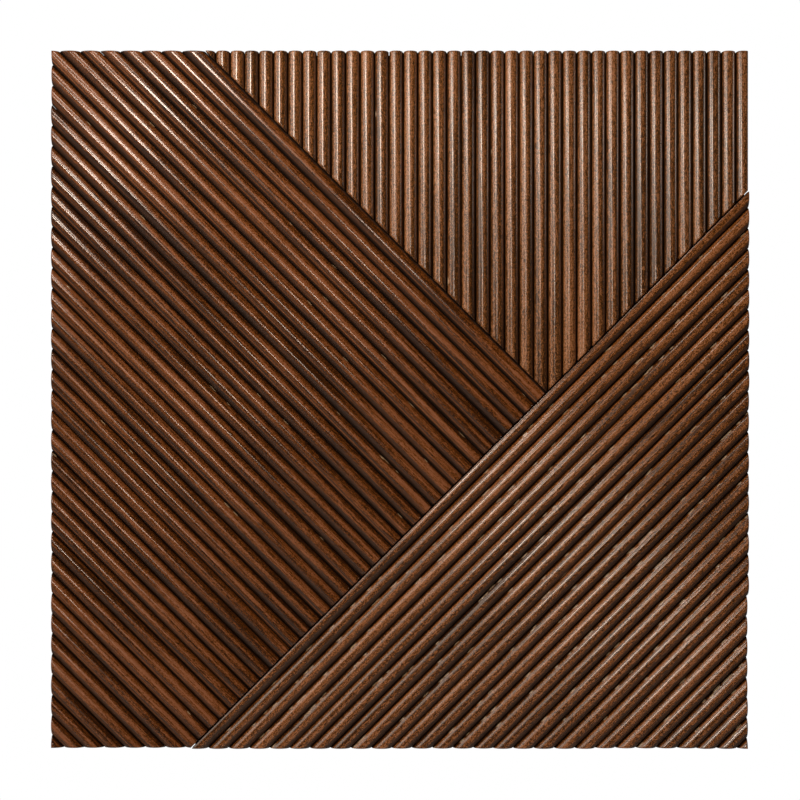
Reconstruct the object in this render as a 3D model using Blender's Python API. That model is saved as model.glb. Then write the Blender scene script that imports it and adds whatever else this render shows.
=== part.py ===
"""A square reeded wood wall panel.

Boards with five half-round reeds each are laid on a backing board in three fields:
upright in the upper field, falling to the right in the left field and rising to the
right in the right field. The front faces -Y, the flat back lies in the plane y = 0,
and the origin is the centre of that back.
"""
from math import asin, ceil, cos, pi, sin, sqrt

import bmesh
import bpy
from mathutils import Matrix, Vector

# Panel
PANEL_SIDE = 0.600
BACKING_THICKNESS = 0.006
BACKING_SETBACK = 0.002

# Reeded boards
REED_PITCH = 0.0125
REED_HEIGHT = 0.0055
GROOVE_FLOOR = 0.0006
REEDS_PER_BOARD = 5
BOARD_BASE = 0.0045
SIDE_TRIM = 0.00045

# Layout of the three fields
LEFT_BORDER_START = 0.132
RIGHT_BORDER_START = 0.120
LEFT_BORDER_BOARD = 0.0636
RIGHT_BORDER_BOARD = 0.0592
UPRIGHT_EDGE_BOARD = 0.0605

# Gaps
TOUCH_GAP = 0.0003
UPRIGHT_JOINT_GAP = 0.0006
SLANTED_JOINT_GAP = 0.0003
LEFT_SEAM_GAP = 0.0005
RIGHT_SEAM_GAP = 0.0012

# Modelling
SEGMENTS_PER_REED = 12
SHARP_ANGLE = 30.0 * pi / 180.0
WELD_DISTANCE = 0.00001

# Stained wood, from the lightest field to the darkest
UPRIGHT_COLOUR = (0.165, 0.082, 0.045)
RIGHT_COLOUR = (0.125, 0.058, 0.029)
LEFT_COLOUR = (0.110, 0.048, 0.023)
BACKING_COLOUR = (0.030, 0.018, 0.012)
SATIN_ROUGHNESS = 0.45
BACKING_ROUGHNESS = 0.80
BOARD_TINTS = (1.00, 0.90, 1.08, 0.95, 1.04)

HALF_SIDE = PANEL_SIDE / 2
BOARD_WIDTH = REEDS_PER_BOARD * REED_PITCH - 2 * SIDE_TRIM
BOARD_BACK = -(BACKING_THICKNESS + TOUCH_GAP)
GROOVE_LEVEL = BOARD_BACK - BOARD_BASE
REED_HALF_WIDTH = (REED_PITCH - GROOVE_FLOOR) / 2
CUTTER_DEPTH = 4 * (BACKING_THICKNESS + BOARD_BASE + REED_HEIGHT)


def clear_scene():
    for item in list(bpy.data.objects):
        bpy.data.objects.remove(item, do_unlink=True)


def make_collection(name):
    collection = bpy.data.collections.new(name)
    bpy.context.scene.collection.children.link(collection)
    return collection


def wood(name, colour, roughness):
    material = bpy.data.materials.new(name)
    material.use_nodes = True
    shader = material.node_tree.nodes["Principled BSDF"]
    shader.inputs["Base Color"].default_value = (*colour, 1.0)
    shader.inputs["Roughness"].default_value = roughness
    shader.inputs["Metallic"].default_value = 0.0
    return material


def extruded_outline(name, points, half_length, collection):
    """A closed flat outline in local X and Y, extruded both ways along local Z."""
    curve = bpy.data.curves.new(name + "_outline", "CURVE")
    curve.dimensions = "2D"
    curve.fill_mode = "BOTH"
    curve.extrude = half_length
    spline = curve.splines.new("POLY")
    spline.points.add(len(points) - 1)
    for place, (x, y) in zip(spline.points, points):
        place.co = (x, y, 0.0, 1.0)
    spline.use_cyclic_u = True
    outline = bpy.data.objects.new(name + "_outline", curve)
    collection.objects.link(outline)
    return outline


def curve_to_mesh(outline, name, collection):
    """The outline as a mesh object with welded caps. The curve is removed."""
    bpy.context.view_layer.update()
    evaluated = outline.evaluated_get(bpy.context.evaluated_depsgraph_get())
    mesh = bpy.data.meshes.new_from_object(evaluated)
    mesh.name = name
    work = bmesh.new()
    work.from_mesh(mesh)
    bmesh.ops.remove_doubles(work, verts=work.verts, dist=WELD_DISTANCE)
    bmesh.ops.recalc_face_normals(work, faces=work.faces)
    work.to_mesh(mesh)
    work.free()
    solid = bpy.data.objects.new(name, mesh)
    solid.matrix_world = outline.matrix_world.copy()
    collection.objects.link(solid)
    bpy.data.objects.remove(outline, do_unlink=True)
    return solid


def half_reed(centre, half_width, share, side):
    """Points of one half of a reed from its foot to its crest, as across and height.

    The half runs to `share` of its half width, where 1 is the foot in the groove.
    """
    steps = SEGMENTS_PER_REED // 2
    widest = asin(share)
    return [
        (centre + side * half_width * sin(widest * step / steps), REED_HEIGHT * cos(widest * step / steps))
        for step in range(steps, -1, -1)
    ]


def ripped(front, low):
    """The front's points from the low side on, with one added where the cut falls."""
    kept = next(place for place, (across, _) in enumerate(front) if across > low + WELD_DISTANCE)
    if kept == 0:
        return front
    (start, start_height), (end, end_height) = front[kept - 1], front[kept]
    share = (low - start) / (end - start)
    return [(low, start_height + share * (end_height - start_height))] + front[kept:]


def board_profile(low, high):
    """The outline of a board's section, with the third reed's crest at across = 0.

    The standard board runs from -BOARD_WIDTH / 2 to BOARD_WIDTH / 2. A low side further
    in rips its reeds there, and one further out widens the first reed's outer half.
    """
    last = (REEDS_PER_BOARD - 1) / 2
    cut_share = (REED_PITCH / 2 - SIDE_TRIM) / REED_HALF_WIDTH
    front = []
    for number in range(REEDS_PER_BOARD):
        centre = (number - last) * REED_PITCH
        left_width, left_share = REED_HALF_WIDTH, 1.0
        right_share = 1.0
        if number == 0:
            left_width = max(REED_HALF_WIDTH, (centre - low) / cut_share)
            left_share = cut_share
        if number == REEDS_PER_BOARD - 1:
            right_share = (high - centre) / REED_HALF_WIDTH
        rising = half_reed(centre, left_width, left_share, -1)
        falling = half_reed(centre, REED_HALF_WIDTH, right_share, 1)
        front += rising + falling[-2::-1]
    # depth grows towards the back, so a height above the groove is taken off it
    section = [(across, GROOVE_LEVEL - height) for across, height in ripped(front, low)]
    return section + [(high, BOARD_BACK), (low, BOARD_BACK)]


def strips(start, end, first_width, joint_gap):
    """Low and high sides of the boards that fill a field from start to end."""
    pitch = BOARD_WIDTH + joint_gap
    sides = [(start, start + first_width)]
    count = ceil((end - sides[0][1]) / pitch)
    for number in range(count):
        low = start + first_width + joint_gap + number * pitch
        if end - low > REED_PITCH / 4:
            sides.append((low, low + BOARD_WIDTH))
    return sides


def cutter(name, corners, collection):
    """A prism over a field's outline, given as X and Z of its corners on the panel."""
    outline = extruded_outline(name, [(x, z) for x, z in corners], CUTTER_DEPTH / 2, collection)
    outline.rotation_euler = (pi / 2, 0.0, 0.0)
    prism = curve_to_mesh(outline, name, collection)
    prism.hide_render = True
    prism.display_type = "WIRE"
    return prism


def lay_field(name, turn, sides, field_cutter, colour, origin, collection):
    """Boards side by side across a field, turned about Y and cut to the field's outline."""
    across = Matrix.Rotation(turn, 3, "Y") @ Vector((1.0, 0.0, 0.0))
    half_standard = BOARD_WIDTH / 2
    for number, (low, high) in enumerate(sides, start=1):
        board_name = f"{name}_board_{number}"
        centre = high - half_standard
        section = board_profile(low - centre, high - centre)
        outline = extruded_outline(board_name, section, PANEL_SIDE * sqrt(2), collection)
        outline.rotation_euler = (0.0, turn, 0.0)
        outline.location = across * centre
        board = curve_to_mesh(outline, board_name, collection)
        board.parent = origin
        board.data.shade_smooth()
        board.data.set_sharp_from_angle(angle=SHARP_ANGLE)
        cut = board.modifiers.new("field outline", "BOOLEAN")
        cut.operation = "INTERSECT"
        cut.solver = "EXACT"
        cut.object = field_cutter
        tint = BOARD_TINTS[number % len(BOARD_TINTS)]
        tinted = tuple(tint * channel for channel in colour)
        board.data.materials.append(wood(board_name, tinted, SATIN_ROUGHNESS))


def lay_backing(origin, collection):
    bpy.ops.mesh.primitive_cube_add(size=1.0)
    backing = bpy.context.object
    backing.name = "backing_board"
    side = PANEL_SIDE - 2 * BACKING_SETBACK
    backing.data.transform(Matrix.Diagonal((side, BACKING_THICKNESS, side, 1.0)))
    backing.location = (0.0, -BACKING_THICKNESS / 2, 0.0)
    for old in list(backing.users_collection):
        old.objects.unlink(backing)
    collection.objects.link(backing)
    backing.parent = origin
    backing.data.materials.append(wood("backing_board", BACKING_COLOUR, BACKING_ROUGHNESS))


def main():
    clear_scene()
    panel = make_collection("reeded_wall_panel")
    cutters = make_collection("cutters")
    origin = bpy.data.objects.new("back_centre", None)
    panel.objects.link(origin)

    # the borders are lines at 45 degrees: x + z = left_line and x - z = right_line
    left_line = LEFT_BORDER_START
    right_line = RIGHT_BORDER_START
    left_edge = left_line + LEFT_SEAM_GAP / sqrt(2)
    right_edge = right_line - RIGHT_SEAM_GAP / sqrt(2)
    beyond = HALF_SIDE + BOARD_WIDTH

    upright_outline = [
        (left_edge - HALF_SIDE, HALF_SIDE),
        ((left_edge + right_edge) / 2, (left_edge - right_edge) / 2),
        (beyond, beyond - right_edge),
        (beyond, HALF_SIDE),
    ]
    left_outline = [
        (-HALF_SIDE, HALF_SIDE),
        (-HALF_SIDE, -HALF_SIDE),
        (right_edge - HALF_SIDE, -HALF_SIDE),
        (HALF_SIDE, HALF_SIDE - right_edge),
        (HALF_SIDE, HALF_SIDE),
    ]
    right_outline = [
        (-HALF_SIDE, -HALF_SIDE),
        (HALF_SIDE, -HALF_SIDE),
        (HALF_SIDE, HALF_SIDE),
    ]

    corner_reach = HALF_SIDE * sqrt(2)
    left_start = -left_line / sqrt(2) + LEFT_SEAM_GAP / 2
    right_start = right_line / sqrt(2) + RIGHT_SEAM_GAP / 2
    left_sides = strips(left_start, corner_reach, LEFT_BORDER_BOARD, SLANTED_JOINT_GAP)
    right_sides = strips(right_start, corner_reach, RIGHT_BORDER_BOARD, SLANTED_JOINT_GAP)
    upright_sides = strips(-HALF_SIDE, HALF_SIDE - left_edge, UPRIGHT_EDGE_BOARD, UPRIGHT_JOINT_GAP)

    lay_backing(origin, panel)
    # a field counts its boards from the line where they start: the right side, and each border
    lay_field("upright", pi, upright_sides, cutter("upright_field", upright_outline, cutters),
              UPRIGHT_COLOUR, origin, panel)
    lay_field("left", 3 * pi / 4, left_sides, cutter("left_field", left_outline, cutters),
              LEFT_COLOUR, origin, panel)
    lay_field("right", pi / 4, right_sides, cutter("right_field", right_outline, cutters),
              RIGHT_COLOUR, origin, panel)


main()
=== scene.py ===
"""The looks of a square reeded wood wall panel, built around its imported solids.

Each board is rebuilt as a fine mesh in the place of its solid, with round reeds, eased ends
and a slightly uneven surface, and gets a stained and clear-coated wood made of nodes.
Metres, +Z up. The front faces -Y and the flat back lies in the plane y = 0.
"""
from math import pi, radians, sin, sqrt

import bmesh
import bpy
import numpy as np
from mathutils import Matrix, Vector


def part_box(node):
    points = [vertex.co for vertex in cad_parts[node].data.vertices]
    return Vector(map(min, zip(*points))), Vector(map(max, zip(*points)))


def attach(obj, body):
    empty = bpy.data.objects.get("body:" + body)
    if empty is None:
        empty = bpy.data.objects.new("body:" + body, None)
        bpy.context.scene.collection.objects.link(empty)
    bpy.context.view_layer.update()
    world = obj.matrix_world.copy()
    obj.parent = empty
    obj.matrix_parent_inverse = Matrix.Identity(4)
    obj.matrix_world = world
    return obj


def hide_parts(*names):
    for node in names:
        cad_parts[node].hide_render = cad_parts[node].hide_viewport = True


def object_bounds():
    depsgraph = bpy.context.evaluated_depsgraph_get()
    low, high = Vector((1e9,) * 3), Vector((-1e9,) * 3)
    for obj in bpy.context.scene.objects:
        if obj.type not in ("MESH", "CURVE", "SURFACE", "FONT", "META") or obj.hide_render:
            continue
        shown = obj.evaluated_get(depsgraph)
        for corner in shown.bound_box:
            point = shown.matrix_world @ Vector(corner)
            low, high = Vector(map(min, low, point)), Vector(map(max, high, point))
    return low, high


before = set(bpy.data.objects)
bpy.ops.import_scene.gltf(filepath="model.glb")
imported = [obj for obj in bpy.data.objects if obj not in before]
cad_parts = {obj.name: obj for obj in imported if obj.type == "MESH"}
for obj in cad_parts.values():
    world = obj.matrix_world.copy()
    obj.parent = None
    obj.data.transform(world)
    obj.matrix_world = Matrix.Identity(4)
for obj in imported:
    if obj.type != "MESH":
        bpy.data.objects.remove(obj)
cad_low, cad_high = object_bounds()

# Sizes that the solids have too
HALF_SIDE = cad_high.x
CREST_LEVEL = cad_low.y
BACKING_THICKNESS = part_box("backing_board")[1].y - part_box("backing_board")[0].y
TOUCH_GAP = 0.0003
REED_PITCH = 0.0125
REED_HEIGHT = 0.0055
GROOVE_FLOOR = 0.0006
REEDS_PER_BOARD = 5
SIDE_TRIM = 0.00045
LEFT_BORDER_START = 0.132
RIGHT_BORDER_START = 0.120
LEFT_BORDER_BOARD = 0.0636
RIGHT_BORDER_BOARD = 0.0592
UPRIGHT_EDGE_BOARD = 0.0605
UPRIGHT_JOINT_GAP = 0.0006
SLANTED_JOINT_GAP = 0.0003
LEFT_SEAM_GAP = 0.0005
RIGHT_SEAM_GAP = 0.0012

BOARD_WIDTH = REEDS_PER_BOARD * REED_PITCH - 2 * SIDE_TRIM
BOARD_BACK = -(BACKING_THICKNESS + TOUCH_GAP)
GROOVE_LEVEL = CREST_LEVEL + REED_HEIGHT
REED_HALF_WIDTH = (REED_PITCH - GROOVE_FLOOR) / 2
NARROWEST_BOARD = REED_PITCH / 4

# Fineness of the boards' meshes
STEPS_PER_HALF_REED = 10
ROW_SPACING = 0.0018
TIP_LENGTH = 0.0005
CLOSEST_COLUMNS = 0.00012
SEARCH_STEPS = 20001
SHARP_ANGLE = radians(40)

# Two lines count as parallel where the sine of the angle between them is below the first
# value, and a corner may lie past an edge by the second
PARALLEL = 0.01
CORNER_TOLERANCE = 1e-7

# Ends of the boards: how they are rounded, how much of a short line the rows of points for it
# may take up, and how much of the rounding is left in a groove
EASE_RADIUS = 0.0013
EASE_STEPS = (0.0, 0.00008, 0.00025, 0.0005, 0.0008, 0.0012, 0.0017)
MOST_EASED = 0.8
GROOVE_EASE = 0.4

# How the cutter left the surface: the notch in each groove, how much lower a reed may be, and
# two kinds of waves, with their depths and their lengths across and along the reeds
NOTCH_SLOPE = 2.6
REED_DROP = 0.00016
SLOW_DEPTH = 0.00008
SLOW_LENGTHS = (0.020, 0.240)
RIPPLE_DEPTH = 0.00002
RIPPLE_LENGTHS = (0.0065, 0.045)
WAVE_COUNT = 14
WAVE_SPREAD = (0.6, 1.8)
WAVE_SCALE = 2.6

# How far short of the panel's edge the ends of some boards stop
END_TRIMS = {
    "upright_1": {"right": 0.0012},
    "right_3": {"right": 0.0003, "bottom": 0.0002},
    "right_4": {"right": 0.0003},
    "right_5": {"right": 0.0016, "bottom": 0.0004},
    "right_6": {"right": 0.0013},
    "left_1": {"left": 0.0005},
    "left_2": {"left": 0.0003},
    "left_7": {"bottom": 0.0008},
    "left_8": {"bottom": 0.0009},
    "left_9": {"bottom": 0.0008},
}

# How much further the ends at the panel's top are worn back in the grooves
TOP_END_WEAR = 0.0009

# Slivers of bare wood that the cutter raised: place to the right and up, half length, height
SLIVERS = {
    "right": [
        (0.2916, 0.0838, 0.0075, 0.0009), (0.1414, -0.1504, 0.0080, 0.0010),
        (0.1251, -0.1676, 0.0075, 0.0009), (0.2058, -0.1178, 0.0060, 0.0008),
        (0.2212, -0.1418, 0.0070, 0.0008), (0.2838, -0.2422, 0.0080, 0.0009),
        (0.1989, -0.1290, 0.0045, 0.0007), (0.2049, -0.1401, 0.0045, 0.0007),
        (0.1628, -0.2002, 0.0050, 0.0007), (0.1217, -0.1195, 0.0045, 0.0006),
        (0.1096, -0.2362, 0.0045, 0.0006),
    ],
    "left": [
        (-0.0122, 0.0384, 0.0045, 0.0005), (-0.0619, 0.0890, 0.0045, 0.0005),
        (-0.0765, 0.0847, 0.0040, 0.0005), (-0.0456, 0.0366, 0.0040, 0.0005),
        (-0.0148, -0.0560, 0.0045, 0.0005), (0.0007, -0.0989, 0.0040, 0.0005),
        (-0.1469, -0.0886, 0.0045, 0.0005), (-0.1452, -0.1015, 0.0040, 0.0005),
    ],
    "upright": [],
}
SLIVER_HALF_WIDTH = 0.00035
SLIVER_FROM_GROOVE = 0.0010

# Smaller ones, placed by seeded chance: how many to a metre of groove, and the ranges of
# their distance from it and of their half length
SPLINTERS_PER_METRE = {"right": 26.0, "left": 3.0, "upright": 2.0}
SPLINTER_FROM_GROOVE = (0.0006, 0.0013)
SPLINTER_HALF_LENGTH = (0.0022, 0.0050)
SPLINTER_HEIGHT = 0.0006

# Features of the grain to a metre across and along the reeds, detail, roughness, distortion
GRAIN = {
    "clouds": (24.0, 5.0, 2.0, 0.5, 0.0),
    "streaks": (260.0, 8.0, 3.0, 0.6, 0.3),
    "stains": (95.0, 11.0, 3.0, 0.55, 0.6),
    "dashes": (800.0, 120.0, 2.0, 0.6, 0.0),
    "speckle": (1300.0, 620.0, 2.0, 0.7, 0.0),
    "fibres": (2400.0, 70.0, 2.0, 0.6, 0.0),
    "pores": (1900.0, 150.0, 1.0, 0.5, 0.0),
    "lines": (820.0, 7.0, 2.0, 0.6, 0.0),
    "chatter": (110.0, 330.0, 1.0, 0.5, 0.0),
    # noise that breaks up the painted highlight along the arris
    "arris_glint_noise": (60.0, 9.0, 2.0, 0.5, 0.0),
    "flank_reach": (30.0, 6.0, 1.0, 0.5, 0.0),
}
# How far from the grain's origin a board may be cut, to either side
GRAIN_OFFSET = 5.0
# Part of a noise's range that is stretched over the whole of what it drives
NOISE_RANGE = (0.2, 0.8)
CLOUD_RANGE = (0.25, 0.75)
THREAD_RANGE = (0.56, 0.74)
STAIN_RANGE = (0.56, 0.70)
PORE_RANGE = (0.60, 0.70)
# range of the noise that breaks up the painted highlight along the arris
ARRIS_GLINT_RANGE = (0.42, 0.58)
FLANK_REACH_RANGE = (0.40, 0.60)

# Each field's wood. The colour is that of the stain where it lies evenly. The entries from
# clouds to dark_flanks say how far each kind of mark moves the tone. far_side is the side of a
# crest away from the light. The two entries after it say how much painted shade darkens that
# side and how much rougher it is. near_at and arris are places from the crest, as shares of the
# pitch. The entry after near_at is painted light on a band there, which is painted shade where
# it is below zero, and the entry after arris is a painted highlight along the arris. near_at is
# counted towards the far side. The depths of the relief are metres.
LOOKS = {
    "upright": {
        "colour": (0.300, 0.094, 0.0165), "roughness": 0.22,
        "clouds": 0.24, "streaks": 0.40, "dashes": 0.30, "speckle": 1.20, "fibres": 0.25,
        "threads": 0.16, "stains": 0.12, "dark_flanks": 0.34,
        "far_side": -1.0, "far_painted_shade": 0.32, "far_dull": 0.0,
        "near_at": -0.38, "near_painted_light_shade": 0.35, "arris": -0.40, "arris_painted_highlight": 0.10,
        "line_depth": 0.000003, "chatter_depth": 0.00001, "pore_depth": 0.0000020,
    },
    "left": {
        "colour": (0.212, 0.052, 0.0037), "roughness": 0.21,
        "clouds": 0.24, "streaks": 0.60, "dashes": 0.22, "speckle": 0.60, "fibres": 0.25,
        "threads": 0.40, "stains": 0.10, "dark_flanks": 0.24,
        "far_side": 1.0, "far_painted_shade": 0.64, "far_dull": 0.28,
        "near_at": -0.17, "near_painted_light_shade": 0.34, "arris": 0.30, "arris_painted_highlight": 0.52,
        "line_depth": 0.000003, "chatter_depth": 0.00001, "pore_depth": 0.0000008,
    },
    "right": {
        "colour": (0.295, 0.082, 0.0085), "roughness": 0.22,
        "clouds": 0.24, "streaks": 0.40, "dashes": 0.26, "speckle": 1.20, "fibres": 0.25,
        "threads": 0.20, "stains": 0.08, "dark_flanks": 0.28,
        "far_side": 1.0, "far_painted_shade": 0.74, "far_dull": 0.28,
        "near_at": -0.30, "near_painted_light_shade": -0.24, "arris": -0.38, "arris_painted_highlight": 0.34,
        "line_depth": 0.000004, "chatter_depth": 0.000012, "pore_depth": 0.0000020,
    },
}
# Tone, brightness of the stain there against its even colour, and how much paler it is
STAIN_STOPS = (
    (0.0, 0.07, 0.0),
    (0.25, 0.38, 0.0),
    (0.5, 1.0, 0.0),
    (0.75, 1.75, 0.08),
    (1.0, 2.5, 0.22),
)
# Tone of an even stain, how far a board and a reed vary from it, what a pore takes off, the
# lowest that the grain goes, and the share of the tone left at the bottom of a groove, where it
# is painted shade
EVEN_TONE = 0.5
BOARD_VARIATION = 0.04
REED_VARIATION = 0.06
PORE_TONE = 0.14
LEAST_TONE = 0.14
GROOVE_PAINTED_SHADE = 0.05

# Where the painted shade on the far flank, the stain of a dark flank and the painted shade in the
# grooves change, as shares of the pitch from a reed's crest
FAR_FLANK = (0.05, 0.27)
DARK_FLANK = (0.04, 0.20)
CREST_BAND = (-0.02, 0.02)

# Where the near band's painted light, painted shade where its tone is below zero, and the arris's
# painted highlight fade, from the middle of each
NEAR_BAND = (0.02, 0.17)
ARRIS_BAND = (0.015, 0.060)

# Share of the reed's height at which the painted shade in the grooves stops, on the near and the far
# flank
GROOVE_SHADE_REACH = (0.78, 1.0)

# Dark flanks: the range of a flank's chance over which it goes from plain to dark, and how
# faint a dark one gets along the reed
DARK_FLANK_CHANCE = (0.45, 1.0)
LEAST_REACH = 0.35

# Each reed of each board draws its tone by a key made from the board's seed
KEY_CYCLE = 97
KEY_STEP = 7.3

# Bare wood on the slivers, whose edges are frayed by the fibres
BARE_WOOD = (0.70, 0.44, 0.22, 1.0)
BARE_RANGE = (0.25, 0.60)
BARE_FRAYING = 0.2
MOST_BARE = 0.9

# Clear coat: rougher in the grooves, and tinted by the stain under it
STREAK_ROUGHNESS = 0.04
GROOVE_ROUGHNESS = 0.20
COAT_LEVEL = 1.0
COAT_TINT = (1.0, 0.84, 0.71, 1.0)

# Depth in the relief, the same in every field
SPECKLE_DEPTH = 0.000002

# Backing board. The solids' gap for the glue line is closed, all but a hair.
GLUE_LINE = 0.00005
PLY_THICKNESS = 0.0012
BACKING_EASE = 0.0006
BACKING_EASE_SEGMENTS = 3
PLYWOOD_FIGURE = (24.0, 1.6, 4.0, 0.6, 1.2)
PLYWOOD_FIBRES = (1500.0, 18.0, 3.0, 0.6, 0.0)
PLYWOOD_RANGE = (0.3, 0.7)
FIGURE_SHARE = 0.6
PLY_VARIATION = 0.25
PLYWOOD_DARK = (0.012, 0.007, 0.005)
PLYWOOD_PALE = (0.055, 0.034, 0.022)
PLYWOOD_ROUGHNESS = (0.7, 0.9)
PLYWOOD_BUMP_STRENGTH = 0.4
PLYWOOD_BUMP_DEPTH = 0.0003

# Camera
VIEW_DISTANCE = 1.15
FRAME_SPAN = 0.6865
SENSOR_WIDTH = 36.0
CAMERA_SHIFT_RIGHT = -0.00017
CAMERA_SHIFT_UP = -0.00026

# Floor
FLOOR_LEVEL = -0.75
FLOOR_CORNERS = ((-2.5, -3.0), (2.5, -3.0), (2.5, 1.3), (-2.5, 1.3))
FLOOR_CLOUDS = (6.0, 6.0, 3.0)
FLOOR_TONES = [(0.3, (0.78, 0.78, 0.77)), (0.7, (0.84, 0.84, 0.83))]
FLOOR_ROUGHNESS = 0.7

# Lamps: place to the right of the panel's middle and above it, distance in front of the reeds'
# crests, width, and power in watts. A distance below zero lies behind the panel.
LIGHTS = {
    "near_key": (-0.52, 0.50, 1.36, 0.14, 3.3),
    "far_left": (-2.60, 1.20, 1.80, 2.20, 26.0),
    "front": (-0.10, 0.25, 1.50, 0.12, 1.25),
    "high_key": (-0.15, 0.75, 0.50, 0.20, 0.6),
    "close_top": (-0.24, 0.37, 0.36, 0.08, 0.33),
    "right_rim": (1.60, 0.50, 0.26, 0.30, 1.4),
    "behind": (0.90, 1.10, -1.40, 1.20, 8.0),
}
WORLD_LIGHT = 0.016
WHITE = (1.0, 1.0, 1.0, 1.0)


class Nodes:
    """A short way to write a material's node tree."""

    def __init__(self, name):
        self.material = bpy.data.materials.new(name)
        self.material.use_nodes = True
        self.tree = self.material.node_tree
        self.shader = self.tree.nodes["Principled BSDF"]

    def add(self, kind, inputs, output=0, **settings):
        node = self.tree.nodes.new(kind)
        for name, value in settings.items():
            setattr(node, name, value)
        for name, value in inputs.items():
            self.feed(node.inputs[name], value)
        return node.outputs[output]

    def feed(self, socket, value):
        if isinstance(value, bpy.types.NodeSocket):
            self.tree.links.new(value, socket)
        else:
            socket.default_value = value

    def math(self, operation, first, second=0.0, clamp=False):
        return self.add("ShaderNodeMath", {0: first, 1: second}, operation=operation, use_clamp=clamp)

    def place(self, turn=0.0, centre=0.0):
        """Coordinates with X across the reeds from the board's middle, and Z along them."""
        own = self.add("ShaderNodeTexCoord", {}, output="Object")
        inputs = {"Vector": own, "Rotation": (0.0, -turn, 0.0), "Location": (-centre, 0.0, 0.0)}
        return self.add("ShaderNodeMapping", inputs)

    def moved(self, place, offset):
        return self.add("ShaderNodeVectorMath", {0: place, 1: offset}, operation="ADD")

    def across_and_depth(self, place):
        split = self.tree.nodes.new("ShaderNodeSeparateXYZ")
        self.feed(split.inputs[0], place)
        return split.outputs[0], split.outputs[1]

    def noise(self, place, across, along, detail, roughness=0.5, distortion=0.0):
        """Noise with so many features to a metre across the reeds and along them."""
        inputs = {"Vector": place, "Scale": (across, across, along)}
        stretched = self.add("ShaderNodeMapping", inputs)
        inputs = {"Vector": stretched, "Scale": 1.0, "Detail": detail, "Roughness": roughness}
        inputs["Distortion"] = distortion
        return self.add("ShaderNodeTexNoise", inputs, output="Fac")

    def chance(self, key):
        """A number between 0 and 1 that is fixed for each key."""
        return self.add("ShaderNodeTexWhiteNoise", {"W": key}, noise_dimensions="1D")

    def remap(self, value, low, high, to_low, to_high, smooth=False):
        inputs = {"Value": value, "From Min": low, "From Max": high, "To Min": to_low, "To Max": to_high}
        kind = "SMOOTHSTEP" if smooth else "LINEAR"
        return self.add("ShaderNodeMapRange", inputs, interpolation_type=kind, clamp=True)

    def ramp(self, value, stops):
        node = self.tree.nodes.new("ShaderNodeValToRGB")
        self.feed(node.inputs[0], value)
        while len(node.color_ramp.elements) < len(stops):
            node.color_ramp.elements.new(0.5)
        for element, (position, colour) in zip(node.color_ramp.elements, stops):
            element.position = position
            element.color = (*colour, 1.0)
        return node.outputs[0]

    def mix(self, factor, first, second):
        node = self.tree.nodes.new("ShaderNodeMix")
        node.data_type = "RGBA"
        self.feed(node.inputs[0], factor)
        self.feed(node.inputs[6], first)
        self.feed(node.inputs[7], second)
        return node.outputs[2]

    def bump(self, height, strength, distance):
        inputs = {"Strength": strength, "Distance": distance, "Height": height}
        self.feed(self.shader.inputs["Normal"], self.add("ShaderNodeBump", inputs))


def stain_ramp(colour):
    """The stain's colour over its tones, from thickest to thinnest; the palest tones also carry painted
    light.
    """
    stops = []
    for tone, brightness, paleness in STAIN_STOPS:
        grey = sum(colour) / 3
        stained = tuple(brightness * (channel + (grey - channel) * paleness) for channel in colour)
        stops.append((tone, stained))
    return stops


def grain_tone(wood, grain, look, board_tone, reed_key):
    """Tone of the stain with the marks of the grain in it."""
    clouds = look["clouds"]
    tone = wood.math("ADD", board_tone, wood.remap(grain["clouds"], *CLOUD_RANGE, -clouds, clouds))
    for mark in ("streaks", "dashes", "speckle", "fibres"):
        strength = look[mark]
        tone = wood.math("ADD", tone, wood.remap(grain[mark], *NOISE_RANGE, -strength, strength))
    reed_tone = wood.remap(wood.chance(reed_key), 0.0, 1.0, -REED_VARIATION, REED_VARIATION)
    tone = wood.math("ADD", tone, reed_tone)
    threads = wood.remap(grain["lines"], *THREAD_RANGE, 0.0, look["threads"], smooth=True)
    return wood.math("ADD", tone, threads)


def flank_stain(wood, grain, look, offset, reed_key):
    """Extra stain on one flank or the other of some reeds, fading in and out along them."""
    side = wood.math("GREATER_THAN", offset, 0.0)
    flank_key = wood.math("ADD", wood.math("MULTIPLY", reed_key, 2.0), side)
    share = wood.remap(wood.chance(flank_key), *DARK_FLANK_CHANCE, 0.0, 1.0)
    away = wood.remap(wood.math("ABSOLUTE", offset), *DARK_FLANK, 0.0, 1.0, smooth=True)
    reach = wood.remap(grain["flank_reach"], *FLANK_REACH_RANGE, LEAST_REACH, 1.0, smooth=True)
    amount = wood.math("MULTIPLY", wood.math("MULTIPLY", share, away), reach)
    return wood.math("MULTIPLY", amount, look["dark_flanks"])


def distance_from(wood, offset, place):
    """How far a point lies from a place across its reed, in shares of the pitch."""
    return wood.math("ABSOLUTE", wood.math("SUBTRACT", offset, place))


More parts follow.
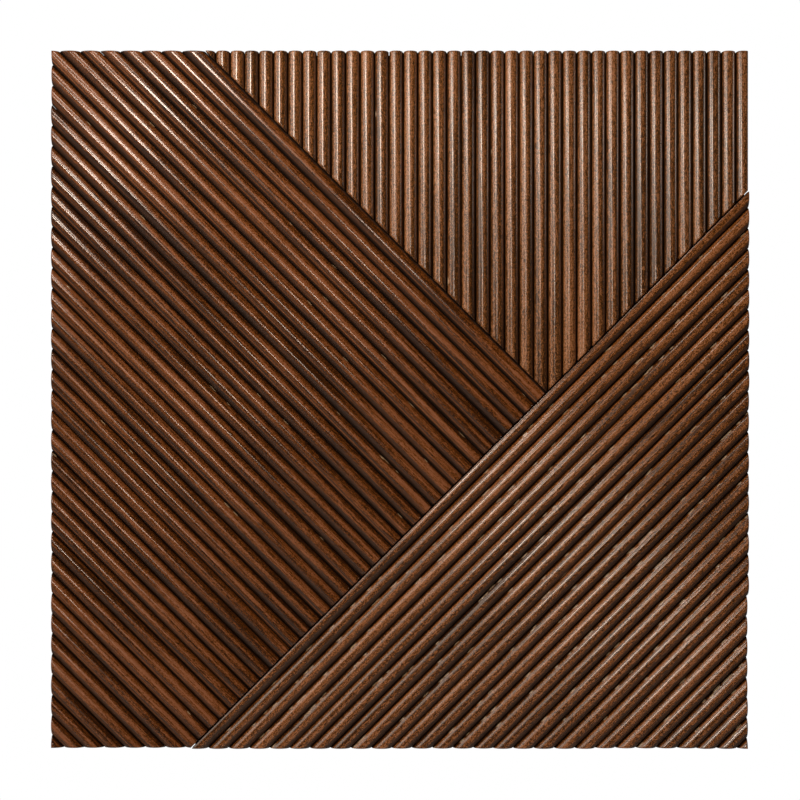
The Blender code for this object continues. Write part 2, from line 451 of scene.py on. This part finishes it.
def stained_wood(name, look, seed, turn, centre):
    """Dark stained wood whose grain runs along the reeds, under a satin clear coat."""
    wood = Nodes(name)
    rng = np.random.default_rng(seed)
    own = wood.place(turn, centre)
    # each board is cut from other wood
    shift = rng.uniform(-GRAIN_OFFSET, GRAIN_OFFSET, 3)
    place = wood.moved(own, tuple(float(step) for step in shift))
    grain = {kind: wood.noise(place, *settings) for kind, settings in GRAIN.items()}
    pore = wood.remap(grain["pores"], *PORE_RANGE, 0.0, 1.0, smooth=True)

    # where a point lies on its reed, and how far it is out of the groove
    across, depth = wood.across_and_depth(own)
    reed_number = wood.math("ROUND", wood.math("DIVIDE", across, REED_PITCH))
    middle = wood.math("MULTIPLY", reed_number, REED_PITCH)
    offset = wood.math("DIVIDE", wood.math("SUBTRACT", across, middle), REED_PITCH)
    far = wood.math("MULTIPLY", offset, look["far_side"])
    far_flank = wood.remap(far, *FAR_FLANK, 0.0, 1.0, smooth=True)
    rise = wood.math("DIVIDE", wood.math("SUBTRACT", GROOVE_LEVEL, depth), REED_HEIGHT)
    # how high up the flank the painted shade in the grooves reaches, more on the far flank
    full_at = wood.remap(far, *CREST_BAND, *GROOVE_SHADE_REACH)
    open_part = wood.remap(wood.math("DIVIDE", rise, full_at), 0.0, 1.0, 0.0, 1.0, smooth=True)

    # each board and each reed takes the stain a little differently
    board_tone = EVEN_TONE + float(rng.uniform(-BOARD_VARIATION, BOARD_VARIATION))
    reed_key = wood.math("ADD", reed_number, float(seed % KEY_CYCLE) * KEY_STEP)
    tone = grain_tone(wood, grain, look, board_tone, reed_key)
    tone = wood.math("SUBTRACT", tone, flank_stain(wood, grain, look, offset, reed_key))
    stained = wood.remap(grain["stains"], *STAIN_RANGE, 0.0, 1.0, smooth=True)
    tone = wood.math("SUBTRACT", tone, wood.math("MULTIPLY", stained, look["stains"]))
    tone = wood.math("SUBTRACT", tone, wood.math("MULTIPLY", pore, PORE_TONE))
    tone = wood.math("MAXIMUM", tone, LEAST_TONE)

    # painted light on the near band, which is painted shade where its tone is below zero
    beside_near = distance_from(wood, far, look["near_at"])
    near_light_shade_factor = wood.remap(beside_near, *NEAR_BAND, 1.0 + look["near_painted_light_shade"], 1.0, smooth=True)
    tone = wood.math("MULTIPLY", tone, near_light_shade_factor)
    # painted shade over the flank away from the light
    tone = wood.math("MULTIPLY", tone, wood.remap(far_flank, 0.0, 1.0, 1.0, 1.0 - look["far_painted_shade"]))
    # painted shade in the grooves
    tone = wood.math("MULTIPLY", tone, wood.remap(open_part, 0.0, 1.0, GROOVE_PAINTED_SHADE, 1.0))

    # a painted highlight along the arris at a reed's foot, broken up here and there by noise
    beside_arris = distance_from(wood, offset, look["arris"])
    arris_glint = wood.remap(grain["arris_glint_noise"], *ARRIS_GLINT_RANGE, 0.0, look["arris_painted_highlight"])
    arris = wood.math("MULTIPLY", wood.remap(beside_arris, *ARRIS_BAND, 1.0, 0.0, smooth=True), arris_glint)
    tone = wood.math("ADD", tone, arris, clamp=True)

    # the raised slivers show bare wood
    sliver = wood.add("ShaderNodeAttribute", {}, output="Fac", attribute_name="bare")
    fraying = wood.remap(grain["fibres"], *NOISE_RANGE, -BARE_FRAYING, BARE_FRAYING)
    bare = wood.remap(wood.math("ADD", sliver, fraying), *BARE_RANGE, 0.0, MOST_BARE)
    colour = wood.mix(bare, wood.ramp(tone, stain_ramp(look["colour"])), BARE_WOOD)
    wood.feed(wood.shader.inputs["Base Color"], colour)

    streaked = wood.remap(grain["streaks"], *NOISE_RANGE, -STREAK_ROUGHNESS, STREAK_ROUGHNESS)
    roughness = wood.math("ADD", look["roughness"], streaked)
    roughness = wood.math("ADD", roughness, wood.remap(open_part, 0.0, 1.0, GROOVE_ROUGHNESS, 0.0))
    roughness = wood.math("ADD", roughness, wood.math("MULTIPLY", far_flank, look["far_dull"]))
    wood.feed(wood.shader.inputs["Roughness"], roughness)
    wood.shader.inputs["Specular IOR Level"].default_value = COAT_LEVEL
    wood.shader.inputs["Specular Tint"].default_value = COAT_TINT

    relief = wood.math("MULTIPLY", grain["lines"], look["line_depth"])
    relief = wood.math("ADD", relief, wood.math("MULTIPLY", grain["chatter"], look["chatter_depth"]))
    relief = wood.math("ADD", relief, wood.math("MULTIPLY", grain["speckle"], SPECKLE_DEPTH))
    relief = wood.math("SUBTRACT", relief, wood.math("MULTIPLY", pore, look["pore_depth"]))
    wood.bump(relief, 1.0, 1.0)
    return wood.material


def reeds_of_board(low):
    """Centre of each reed, and the width of its half that points to the board's low side."""
    last = (REEDS_PER_BOARD - 1) / 2
    cut_share = (REED_PITCH / 2 - SIDE_TRIM) / REED_HALF_WIDTH
    centres = np.array([(number - last) * REED_PITCH for number in range(REEDS_PER_BOARD)])
    low_widths = np.full(REEDS_PER_BOARD, REED_HALF_WIDTH)
    low_widths[0] = max(REED_HALF_WIDTH, (centres[0] - low) / cut_share)
    return centres, low_widths


def grooves_of_board(low, high, centres):
    """Places across the board of the grooves between its reeds."""
    return [groove for groove in centres[:-1] + REED_PITCH / 2 if low < groove < high]


def reed_height(across, centres, low_widths):
    """Height above the groove floor, and the number of the nearest reed.

    Between two reeds the floor falls to a narrow notch that a cutter's tip leaves.
    """
    nearest = np.abs(across[:, None] - centres[None, :]).argmin(axis=1)
    offset = across - centres[nearest]
    width = np.where(offset < 0, low_widths[nearest], REED_HALF_WIDTH)
    share = np.clip(np.abs(offset) / width, 0.0, 1.0)
    past_foot = np.clip(np.abs(offset) - width, 0.0, GROOVE_FLOOR / 2)
    return REED_HEIGHT * np.sqrt(1.0 - share ** 2) - NOTCH_SLOPE * past_foot, nearest


def span_along(across, limits):
    """Where lines along the reeds enter and leave the field, and the slant of both ends."""
    enter = np.full(len(across), -np.inf)
    leave = np.full(len(across), np.inf)
    enter_slant = np.ones(len(across))
    leave_slant = np.ones(len(across))
    for across_part, along_part, reach in limits:
        if abs(along_part) < PARALLEL:
            continue
        edge = (reach - across * across_part) / along_part
        if along_part > 0:
            nearer = edge < leave
            leave = np.where(nearer, edge, leave)
            leave_slant = np.where(nearer, along_part, leave_slant)
        else:
            nearer = edge > enter
            enter = np.where(nearer, edge, enter)
            enter_slant = np.where(nearer, -along_part, enter_slant)
    return enter, leave, enter_slant, leave_slant


def corner_places(limits):
    """Places across the board where two edges of the field meet."""
    places = []
    for index, (a1, b1, c1) in enumerate(limits):
        for a2, b2, c2 in limits[index + 1:]:
            turn = a1 * b2 - a2 * b1
            if abs(turn) > PARALLEL:
                across = (c1 * b2 - c2 * b1) / turn
                along = (a1 * c2 - a2 * c1) / turn
                if all(a * across + b * along <= c + CORNER_TOLERANCE for a, b, c in limits):
                    places.append(across)
    return places


def column_places(low, high, centres, low_widths, corners):
    """Places of the mesh's lines across a board, closest where a reed is steepest."""
    fixed = [low, high] + [place for place in corners if low < place < high]
    places = list(fixed)
    for centre, low_width in zip(centres, low_widths):
        for step in range(-STEPS_PER_HALF_REED, STEPS_PER_HALF_REED + 1):
            width = low_width if step < 0 else REED_HALF_WIDTH
            place = centre + width * sin(step / STEPS_PER_HALF_REED * pi / 2)
            clear = min(abs(place - other) for other in fixed) > CLOSEST_COLUMNS
            if low < place < high and clear:
                places.append(place)
    return np.array(sorted(places + grooves_of_board(low, high, centres)))


def board_columns(low, high, limits, centres, low_widths):
    """Places of the mesh's lines across the part of a board that lies in its field."""
    tried = np.linspace(low, high, SEARCH_STEPS)
    for across_part, along_part, reach in limits:
        if abs(along_part) < PARALLEL:
            tried = tried[tried * across_part <= reach]
    enter, leave, _, _ = span_along(tried, limits)
    inside = tried[leave - enter > TIP_LENGTH]
    return column_places(inside[0], inside[-1], centres, low_widths, corner_places(limits))


def row_places(enter, leave, enter_slant, leave_slant):
    """Places of the mesh's points along each line, closest together at the eased ends."""
    length = leave - enter
    ease = np.array(EASE_STEPS)
    shrink = np.minimum(1.0, MOST_EASED * length / (ease[-1] / enter_slant + ease[-1] / leave_slant))
    first = enter[:, None] + ease[None, :] * (shrink / enter_slant)[:, None]
    last = leave[:, None] - ease[None, ::-1] * (shrink / leave_slant)[:, None]
    row_count = max(2, round(length.max() / ROW_SPACING))
    share = np.arange(1, row_count) / row_count
    middle = first[:, -1:] + (last[:, :1] - first[:, -1:]) * share[None, :]
    return np.concatenate([first, middle, last], axis=1)


def unevenness(rng, across, along, across_length, along_length):
    """A smooth seeded field between 0 and 1 with features of about the two lengths."""
    total = np.zeros(along.shape)
    for _ in range(WAVE_COUNT):
        across_wave = 2 * pi / (across_length * rng.uniform(*WAVE_SPREAD))
        along_wave = 2 * pi / (along_length * rng.uniform(*WAVE_SPREAD))
        lean = rng.choice((-1, 1))
        start = rng.uniform(0, 2 * pi)
        total += np.sin(across * across_wave * lean + along * along_wave + start)
    return np.clip(0.5 + total / (WAVE_SCALE * sqrt(WAVE_COUNT)), 0.0, 1.0)


def worked_surface(rng, height, fullness, reed, across, along):
    """The height as the cutter left it: each reed a little lower, and gently uneven."""
    reed_drop = rng.uniform(0.0, REED_DROP, REEDS_PER_BOARD)[reed][:, None]
    slow = unevenness(rng, across, along, *SLOW_LENGTHS)
    ripple = unevenness(rng, across, along, *RIPPLE_LENGTHS)
    return height - fullness * (reed_drop + SLOW_DEPTH * slow + RIPPLE_DEPTH * ripple)


def eased_ends(height, fullness, across, along, limits):
    """The height with the board's ends rounded off, less in the grooves than on the reeds."""
    to_end = np.full(along.shape, np.inf)
    for across_part, along_part, reach in limits:
        if abs(along_part) > PARALLEL:
            to_end = np.minimum(to_end, reach - across * across_part - along * along_part)
    inset = np.clip(EASE_RADIUS - to_end, 0.0, EASE_RADIUS)
    drop = EASE_RADIUS - np.sqrt(EASE_RADIUS ** 2 - inset ** 2)
    return height - drop * (GROOVE_EASE + (1.0 - GROOVE_EASE) * fullness)


def splinters(rng, field, grooves, first, last):
    """Seeded small splinters along a board's grooves, in the form of the slivers."""
    marks = []
    for groove in grooves:
        for _ in range(rng.poisson(SPLINTERS_PER_METRE[field] * (last - first))):
            across = groove + LOOKS[field]["far_side"] * rng.uniform(*SPLINTER_FROM_GROOVE)
            along = rng.uniform(first, last)
            marks.append((across, along, rng.uniform(*SPLINTER_HALF_LENGTH), SPLINTER_HEIGHT))
    return marks


def raised_slivers(height, across, along, columns, slivers):
    """The height with the slivers on it, and how bare the wood is at each point."""
    bare = np.zeros(along.shape)
    for place_across, place_along, half_length, rise in slivers:
        ridge = columns[np.abs(columns - place_across).argmin()]
        beside = np.exp(-((across - ridge) / SLIVER_HALF_WIDTH) ** 2)
        mark = beside * np.clip(1.0 - ((along - place_along) / half_length) ** 2, 0.0, 1.0)
        height = np.minimum(height + rise * mark, REED_HEIGHT)
        bare = np.maximum(bare, mark)
    return height, bare


def board_mesh(name, field, low, high, limits, slivers, rng):
    """A closed board in its own coordinates: X across the reeds, Y in depth, Z along them."""
    centres, low_widths = reeds_of_board(low)
    columns = board_columns(low, high, limits, centres, low_widths)
    enter, leave, enter_slant, leave_slant = span_along(columns, limits)
    height, reed = reed_height(columns, centres, low_widths)
    if field == "upright":
        # these boards are turned half round, so their lines enter at the panel's top
        enter = enter + TOP_END_WEAR * (1.0 - np.clip(height / REED_HEIGHT, 0.0, 1.0))
    along = row_places(enter, leave, enter_slant, leave_slant)
    across = np.repeat(columns[:, None], along.shape[1], axis=1)

    height = np.repeat(height[:, None], along.shape[1], axis=1)
    fullness = np.clip(height / REED_HEIGHT, 0.0, 1.0)
    height = worked_surface(rng, height, fullness, reed, across, along)
    height = eased_ends(height, fullness, across, along, limits)
    grooves = grooves_of_board(low, high, centres)
    small = splinters(rng, field, grooves, enter.min(), leave.max())
    height, bare = raised_slivers(height, across, along, columns, slivers + small)

    mesh = closed_mesh(name, across, GROOVE_LEVEL - height, along)
    values = np.zeros(len(mesh.vertices))
    values[:bare.size] = bare.ravel()
    mesh.attributes.new("bare", "FLOAT", "POINT").data.foreach_set("value", values)
    return mesh


def closed_mesh(name, across, depth, along):
    """A front made of a grid of points, with flat sides, ends and back."""
    columns, rows = across.shape
    front = np.arange(columns * rows).reshape(columns, rows)
    points = [np.stack([across, depth, along], axis=-1).reshape(-1, 3)]
    back = np.full((columns, rows), -1)
    rim = np.zeros((columns, rows), bool)
    rim[0, :] = rim[-1, :] = rim[:, 0] = rim[:, -1] = True
    back[rim] = columns * rows + np.arange(rim.sum())
    points.append(np.stack([across[rim], np.full(rim.sum(), BOARD_BACK), along[rim]], axis=-1))

    def strip(a, b, c, d):
        return np.stack([a.ravel(), b.ravel(), c.ravel(), d.ravel()], axis=-1).tolist()

    faces = strip(front[:-1, :-1], front[1:, :-1], front[1:, 1:], front[:-1, 1:])
    faces += strip(front[0, :-1], front[0, 1:], back[0, 1:], back[0, :-1])
    faces += strip(front[-1, :-1], back[-1, :-1], back[-1, 1:], front[-1, 1:])
    faces += strip(front[:-1, 0], back[:-1, 0], back[1:, 0], front[1:, 0])
    faces += strip(front[:-1, -1], front[1:, -1], back[1:, -1], back[:-1, -1])
    faces += strip(back[0, 1:-2], back[0, 2:-1], back[-1, 2:-1], back[-1, 1:-2])
    faces.append([int(back[0, 0]), int(back[0, 1]), int(back[-1, 1])] + back[:0:-1, 0].tolist())
    faces.append([int(back[0, -2])] + back[:, -1].tolist() + [int(back[-1, -2])])

    mesh = bpy.data.meshes.new(name)
    mesh.from_pydata(np.concatenate(points).tolist(), [], faces)
    mesh.shade_smooth()
    mesh.set_sharp_from_angle(angle=SHARP_ANGLE)
    return mesh


def strips(start, end, first_width, joint_gap):
    """Low and high sides of the boards that fill a field from start to end."""
    sides = [(start, start + first_width)]
    while end - (sides[-1][1] + joint_gap) > NARROWEST_BOARD:
        low = sides[-1][1] + joint_gap
        sides.append((low, low + BOARD_WIDTH))
    return sides


def panel_limits(board):
    """The panel's four edges as x part, z part and reach, less the board's own trims."""
    trims = END_TRIMS.get(board, {})
    return [
        (1.0, 0.0, HALF_SIDE - trims.get("right", 0.0)),
        (-1.0, 0.0, HALF_SIDE - trims.get("left", 0.0)),
        (0.0, 1.0, HALF_SIDE - trims.get("top", 0.0)),
        (0.0, -1.0, HALF_SIDE - trims.get("bottom", 0.0)),
    ]


def slivers_of_board(field, low, high, centre, across, along):
    """A board's slivers as place across and along, half length and height."""
    marks = []
    for x, z, half_length, rise in SLIVERS[field]:
        place = x * across.x + z * across.z
        if low < place < high:
            # a sliver stands at the foot of a flank that faces the light
            groove = (round((place - centre) / REED_PITCH - 0.5) + 0.5) * REED_PITCH
            foot = groove + LOOKS[field]["far_side"] * SLIVER_FROM_GROOVE
            marks.append((foot, x * along.x + z * along.z, half_length, rise))
    return marks


def lay_field(name, turn, sides, borders, seed):
    """Boards side by side across a field, turned about Y, each in the place of its solid."""
    rotation = Matrix.Rotation(turn, 3, "Y")
    across = rotation @ Vector((1.0, 0.0, 0.0))
    along = rotation @ Vector((0.0, 0.0, 1.0))
    for number, (low, high) in enumerate(sides, start=1):
        centre = high - BOARD_WIDTH / 2
        limits = []
        for x_part, z_part, reach in panel_limits(f"{name}_{number}") + borders:
            across_part = x_part * across.x + z_part * across.z
            along_part = x_part * along.x + z_part * along.z
            limits.append((across_part, along_part, reach - centre * across_part))
        board_seed = seed + number
        piece_name = f"{name}_reeded_board_{number}"
        slivers = slivers_of_board(name, low, high, centre, across, along)
        rng = np.random.default_rng(board_seed)
        mesh = board_mesh(piece_name, name, low - centre, high - centre, limits, slivers, rng)
        mesh.transform(Matrix.Translation(across * centre) @ rotation.to_4x4())
        board = bpy.data.objects.new(piece_name, mesh)
        bpy.context.scene.collection.objects.link(board)
        mesh.materials.append(stained_wood(piece_name, LOOKS[name], board_seed, turn, centre))
        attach(board, "root")
        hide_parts(f"{name}_board_{number}")


def lay_boards():
    """The three fields, whose borders are lines at 45 degrees."""
    left_edge = LEFT_BORDER_START + LEFT_SEAM_GAP / sqrt(2)
    right_edge = RIGHT_BORDER_START - RIGHT_SEAM_GAP / sqrt(2)
    slant = sqrt(0.5)
    below_right_border = (slant, -slant, right_edge * slant)
    above_left_border = (-slant, -slant, -left_edge * slant)
    corner = HALF_SIDE * sqrt(2)
    left_start = -LEFT_BORDER_START / sqrt(2) + LEFT_SEAM_GAP / 2
    right_start = RIGHT_BORDER_START / sqrt(2) + RIGHT_SEAM_GAP / 2
    upright_sides = strips(-HALF_SIDE, HALF_SIDE - left_edge, UPRIGHT_EDGE_BOARD, UPRIGHT_JOINT_GAP)
    left_sides = strips(left_start, corner, LEFT_BORDER_BOARD, SLANTED_JOINT_GAP)
    right_sides = strips(right_start, corner, RIGHT_BORDER_BOARD, SLANTED_JOINT_GAP)
    lay_field("upright", pi, upright_sides, [above_left_border, below_right_border], seed=100)
    lay_field("left", 3 * pi / 4, left_sides, [below_right_border], seed=200)
    lay_field("right", pi / 4, right_sides, [], seed=300)


def dark_plywood():
    """Matt black-brown plywood, whose plies show as bands on the edges."""
    plywood = Nodes("backing_plywood")
    place = plywood.place()
    figure = plywood.noise(place, *PLYWOOD_FIGURE)
    fibres = plywood.noise(place, *PLYWOOD_FIBRES)
    figure_tone = plywood.remap(figure, *PLYWOOD_RANGE, 0.0, FIGURE_SHARE)
    fibre_tone = plywood.remap(fibres, *PLYWOOD_RANGE, 0.0, 1.0 - FIGURE_SHARE)
    tone = plywood.math("ADD", figure_tone, fibre_tone)
    depth = plywood.across_and_depth(place)[1]
    ply = plywood.math("ROUND", plywood.math("DIVIDE", depth, PLY_THICKNESS))
    ply_tone = plywood.remap(plywood.chance(ply), 0.0, 1.0, -PLY_VARIATION, PLY_VARIATION)
    tone = plywood.math("ADD", tone, ply_tone, clamp=True)
    colour = plywood.ramp(tone, [(0.0, PLYWOOD_DARK), (1.0, PLYWOOD_PALE)])
    plywood.feed(plywood.shader.inputs["Base Color"], colour)
    roughness = plywood.remap(fibres, *NOISE_RANGE, *PLYWOOD_ROUGHNESS)
    plywood.feed(plywood.shader.inputs["Roughness"], roughness)
    plywood.bump(fibres, PLYWOOD_BUMP_STRENGTH, PLYWOOD_BUMP_DEPTH)
    return plywood.material


def back_board():
    """The plywood that carries the boards, with eased edges, in the place of its solid."""
    low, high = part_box("backing_board")
    low = Vector((low.x, BOARD_BACK + GLUE_LINE, low.z))
    mesh = bpy.data.meshes.new("backing_plywood")
    work = bmesh.new()
    bmesh.ops.create_cube(work, size=1.0)
    bmesh.ops.scale(work, vec=high - low, verts=work.verts)
    bmesh.ops.translate(work, vec=(low + high) / 2, verts=work.verts)
    bmesh.ops.bevel(work, geom=work.edges[:], offset=BACKING_EASE, segments=BACKING_EASE_SEGMENTS,
                    profile=0.5, affect="EDGES")
    work.to_mesh(mesh)
    work.free()
    mesh.shade_smooth()
    mesh.set_sharp_from_angle(angle=SHARP_ANGLE)
    board = bpy.data.objects.new("backing_plywood", mesh)
    bpy.context.scene.collection.objects.link(board)
    mesh.materials.append(dark_plywood())
    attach(board, "root")
    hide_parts("backing_board")


def lay_floor():
    """A plain pale floor, low enough to stay below the front view."""
    mesh = bpy.data.meshes.new("floor")
    mesh.from_pydata([(x, y, FLOOR_LEVEL) for x, y in FLOOR_CORNERS], [], [(0, 1, 2, 3)])
    floor = bpy.data.objects.new("floor", mesh)
    bpy.context.scene.collection.objects.link(floor)
    pale = Nodes("pale_floor")
    colour = pale.ramp(pale.noise(pale.place(), *FLOOR_CLOUDS), FLOOR_TONES)
    pale.feed(pale.shader.inputs["Base Color"], colour)
    pale.shader.inputs["Roughness"].default_value = FLOOR_ROUGHNESS
    mesh.materials.append(pale.material)


def soft_light(name, x, z, front, size, power):
    """A round lamp that points at the middle of the panel's back."""
    lamp = bpy.data.lights.new(name, "AREA")
    lamp.shape = "DISK"
    lamp.size = size
    lamp.energy = power
    light = bpy.data.objects.new(name, lamp)
    bpy.context.scene.collection.objects.link(light)
    light.location = (x, CREST_LEVEL - front, z)
    light.rotation_euler = (-light.location).to_track_quat("-Z", "Y").to_euler()
    light.visible_camera = False


def light_studio():
    """The lamps, and a world that looks white and lights faintly."""
    for name, (x, z, front, size, power) in LIGHTS.items():
        soft_light(name, x, z, front, size, power)
    world = bpy.data.worlds.new("studio")
    bpy.context.scene.world = world
    world.use_nodes = True
    nodes = world.node_tree.nodes
    nodes.clear()
    seen = nodes.new("ShaderNodeBackground")
    seen.inputs["Strength"].default_value = 1.0
    seen.inputs["Color"].default_value = WHITE
    lighting = nodes.new("ShaderNodeBackground")
    lighting.inputs["Strength"].default_value = WORLD_LIGHT
    lighting.inputs["Color"].default_value = WHITE
    path = nodes.new("ShaderNodeLightPath")
    choose = nodes.new("ShaderNodeMixShader")
    out = nodes.new("ShaderNodeOutputWorld")
    links = world.node_tree.links
    links.new(path.outputs["Is Camera Ray"], choose.inputs[0])
    links.new(lighting.outputs[0], choose.inputs[1])
    links.new(seen.outputs[0], choose.inputs[2])
    links.new(choose.outputs[0], out.inputs[0])


def place_camera():
    """A camera straight in front, whose frame is a little wider than the panel."""
    lens = bpy.data.cameras.new("camera")
    lens.sensor_width = SENSOR_WIDTH
    lens.lens = SENSOR_WIDTH * VIEW_DISTANCE / FRAME_SPAN
    camera = bpy.data.objects.new("camera", lens)
    bpy.context.scene.collection.objects.link(camera)
    camera.location = (CAMERA_SHIFT_RIGHT, CREST_LEVEL - VIEW_DISTANCE, CAMERA_SHIFT_UP)
    camera.rotation_euler = (pi / 2, 0.0, 0.0)
    bpy.context.scene.camera = camera
    bpy.context.scene.view_settings.view_transform = "Standard"


place_camera()
lay_boards()
back_board()
lay_floor()
light_studio()
